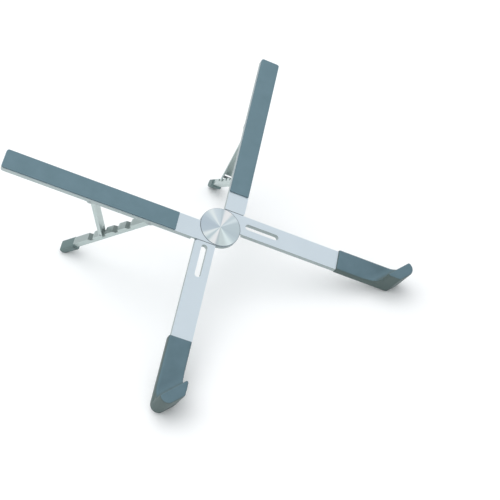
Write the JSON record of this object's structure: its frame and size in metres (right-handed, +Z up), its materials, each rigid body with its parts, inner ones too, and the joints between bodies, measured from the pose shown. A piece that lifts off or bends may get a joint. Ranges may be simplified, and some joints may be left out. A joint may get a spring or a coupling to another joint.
{
  "type": "laptop stand",
  "caption": "Folding X-shaped laptop stand: two crossing aluminium bars with silicone pads and front hooks, on ratchet legs with propping struts.",
  "frame": {"origin": "on the table, under the middle of the open stand's bounding box", "axes": "+X to the user's right, +Y away from the user, +Z up"},
  "size_m": [0.222, 0.18, 0.1025],
  "materials": {
    "bar_aluminium": "satin silver anodised",
    "spun_cap": "lathe-turned, bright",
    "leg_aluminium": "satin silver anodised",
    "silicone": "matt blue-grey silicone",
    "foot_rubber": "matt grey rubber",
    "nylon": "natural nylon",
    "steel": "plain steel"
  },
  "bodies": {
    "upper_frame": {"upper_bar": "bar_aluminium", "pad_left": "silicone", "hook_right": "silicone", "hub_cap": "spun_cap", "hub_axle": "steel", "slip_washer": "nylon", "spring_washer": "steel", "hub_nut": "steel", "leg_pin_left": "steel", "strut_pin_left": "steel", "leg_spacers_left": "nylon", "strut_spacers_left": "nylon"},
    "lower_frame": {"lower_bar": "bar_aluminium", "pad_right": "silicone", "hook_left": "silicone", "leg_pin_right": "steel", "strut_pin_right": "steel", "leg_spacers_right": "nylon", "strut_spacers_right": "nylon"},
    "leg_left_body": {"leg_left": "leg_aluminium", "foot_left": "foot_rubber"},
    "strut_left_body": {"strut_left": "leg_aluminium", "catch_pin_left": "steel"},
    "leg_right_body": {"leg_right": "leg_aluminium", "foot_right": "foot_rubber"},
    "strut_right_body": {"strut_right": "leg_aluminium", "catch_pin_right": "steel"}
  },
  "joints": [
    {"name": "hub_fold", "type": "hinge", "parent": "upper_frame", "child": "lower_frame", "pos_m": [0, -0.00649, 0.04976], "axis": [0, -0.515, 0.8572], "range_deg": [0, 90]},
    {"name": "leg_fold_left", "type": "hinge", "parent": "upper_frame", "child": "leg_left_body", "pos_m": [-0.03684, 0.01802, 0.06099], "axis": [0.7071, 0.6061, 0.3642], "range_deg": [0, 62]},
    {"name": "strut_fold_left", "type": "hinge", "parent": "upper_frame", "child": "strut_left_body", "pos_m": [-0.06513, 0.04227, 0.07555], "axis": [0.7071, 0.6061, 0.3642], "range_deg": [0, 111.26]},
    {"name": "leg_fold_right", "type": "hinge", "parent": "lower_frame", "child": "leg_right_body", "pos_m": [0.03684, 0.01802, 0.06099], "axis": [0.7071, -0.6061, -0.3642], "range_deg": [0, 62]},
    {"name": "strut_fold_right", "type": "hinge", "parent": "lower_frame", "child": "strut_right_body", "pos_m": [0.06513, 0.04227, 0.07555], "axis": [0.7071, -0.6061, -0.3642], "range_deg": [0, 111.26]}
  ],
  "couplings": [
    {"joint": "strut_fold_left", "follows": "leg_fold_left", "ratio": 1.7945},
    {"joint": "strut_fold_right", "follows": "leg_fold_right", "ratio": 1.7945}
  ]
}
